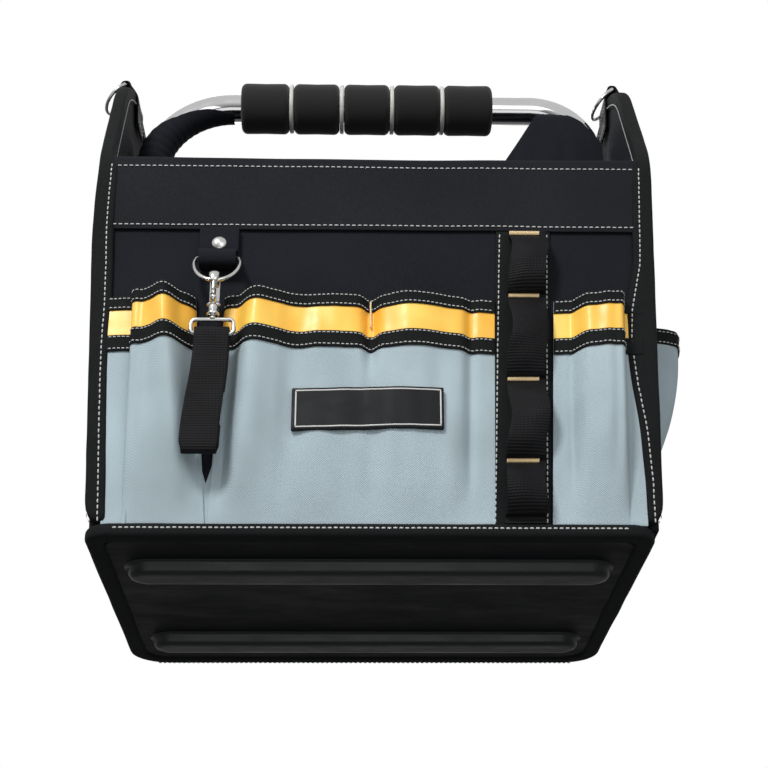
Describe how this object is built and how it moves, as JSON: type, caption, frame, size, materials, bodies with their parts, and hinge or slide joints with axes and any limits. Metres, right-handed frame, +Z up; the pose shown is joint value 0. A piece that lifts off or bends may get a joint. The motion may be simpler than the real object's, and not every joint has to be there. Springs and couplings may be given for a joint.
{
  "type": "garden tool bag",
  "caption": "Open-topped soft tool bag with raised side walls, a bolted tube handle with a foam grip, outside pockets, tool loops and a hanging snap hook.",
  "frame": {"origin": "centre of the bounding box's bottom, on the surface that the foot rails stand on", "axes": "+Z up, -Y towards the front pockets, +X towards the tool loops' side"},
  "size_m": [0.4245, 0.3082, 0.444],
  "materials": {
    "black_fabric": "heavy black woven polyester",
    "charcoal_fabric": "heavy charcoal woven polyester",
    "grey_fabric": "blue-grey woven polyester",
    "orange_tape": "smooth high-visibility tape",
    "webbing": "black ribbed webbing",
    "rubber": "satin black rubberised skin",
    "foam": "matte closed-cell foam",
    "grey_plastic": "light grey plastic",
    "thread": "white sewing thread",
    "tack_thread": "cream bar-tack thread",
    "board": "stiff black base board",
    "chrome": "polished chrome plate",
    "nickel": "bright nickel plate"
  },
  "bodies": {
    "bag": {"foot_rail_front": "rubber", "foot_rail_rear": "rubber", "base_cover": "rubber", "base_welt": "black_fabric", "base_board": "board", "front_panel": "black_fabric", "back_panel": "black_fabric", "left_side_panel": "black_fabric", "right_side_panel": "black_fabric", "left_edge_binding": "black_fabric", "right_edge_binding": "black_fabric", "front_top_band": "charcoal_fabric", "back_top_band": "charcoal_fabric", "front_pocket_left": "grey_fabric", "front_pocket_left_lower_binding": "webbing", "front_pocket_left_hivis_tape": "orange_tape", "front_pocket_left_rim_binding": "webbing", "front_pocket_centre": "grey_fabric", "front_pocket_centre_lower_binding": "webbing", "front_pocket_centre_hivis_tape": "orange_tape", "front_pocket_centre_rim_binding": "webbing", "front_pocket_right": "grey_fabric", "front_pocket_right_lower_binding": "webbing", "front_pocket_right_hivis_tape": "orange_tape", "front_pocket_right_rim_binding": "webbing", "back_pocket": "grey_fabric", "back_pocket_lower_binding": "webbing", "back_pocket_hivis_tape": "orange_tape", "back_pocket_rim_binding": "webbing", "left_side_pocket": "grey_fabric", "left_side_pocket_binding": "webbing", "right_side_pocket": "grey_fabric", "right_side_pocket_binding": "webbing", "tool_loop_backing": "webbing", "tool_loop_webbing": "webbing", "label_patch": "rubber", "hook_tab": "black_fabric", "hook_rivet": "nickel", "handle_tube": "chrome", "grip_core": "grey_plastic", "grip_foam_1": "foam", "grip_foam_2": "foam", "grip_foam_3": "foam", "grip_foam_4": "foam", "grip_foam_5": "foam", "handle_bolt_left_lower": "chrome", "handle_bolt_left_upper": "chrome", "handle_bolt_right_lower": "chrome", "handle_bolt_right_upper": "chrome", "left_handle_sleeve": "black_fabric", "right_handle_flap": "black_fabric", "left_ear_tab": "black_fabric", "right_ear_tab": "black_fabric"},
    "d_ring": {"d_ring": "nickel"},
    "snap_hook": {"snap_hook": "nickel"},
    "hook_gate": {"hook_gate": "nickel"},
    "swivel_eye": {"swivel_eye": "nickel"},
    "hanging_strap": {"hanging_strap": "webbing"},
    "left_ear_ring": {"left_ear_ring": "nickel"},
    "right_ear_ring": {"right_ear_ring": "nickel"}
  },
  "joints": [
    {"name": "d_ring_swing", "type": "hinge", "parent": "bag", "child": "d_ring", "pos_m": [-0.1, -0.1365, 0.199], "axis": [-1, 0, 0], "range_deg": [0, 70]},
    {"name": "snap_hook_swing", "type": "hinge", "parent": "d_ring", "child": "snap_hook", "pos_m": [-0.1, -0.14958, 0.1747], "axis": [-1, 0, 0], "range_deg": [0, 45]},
    {"name": "hook_gate_press", "type": "hinge", "parent": "snap_hook", "child": "hook_gate", "pos_m": [-0.1, -0.15498, 0.1615], "axis": [-1, 0, 0], "range_deg": [0, 16], "stiffness_Nm_per_rad": 0.02},
    {"name": "eye_swivel", "type": "hinge", "parent": "snap_hook", "child": "swivel_eye", "pos_m": [-0.1, -0.14958, 0.1472], "axis": [0, 0, 1], "continuous": true},
    {"name": "strap_swing", "type": "hinge", "parent": "swivel_eye", "child": "hanging_strap", "pos_m": [-0.1, -0.14958, 0.1356], "axis": [-1, 0, 0], "range_deg": [0, 60]},
    {"name": "left_ring_swing", "type": "hinge", "parent": "bag", "child": "left_ear_ring", "pos_m": [-0.19244, 0, 0.437], "axis": [0, 1, 0], "range_deg": [0, 220]},
    {"name": "right_ring_swing", "type": "hinge", "parent": "bag", "child": "right_ear_ring", "pos_m": [0.19744, 0, 0.437], "axis": [0, 1, 0], "range_deg": [0, 220]}
  ]
}
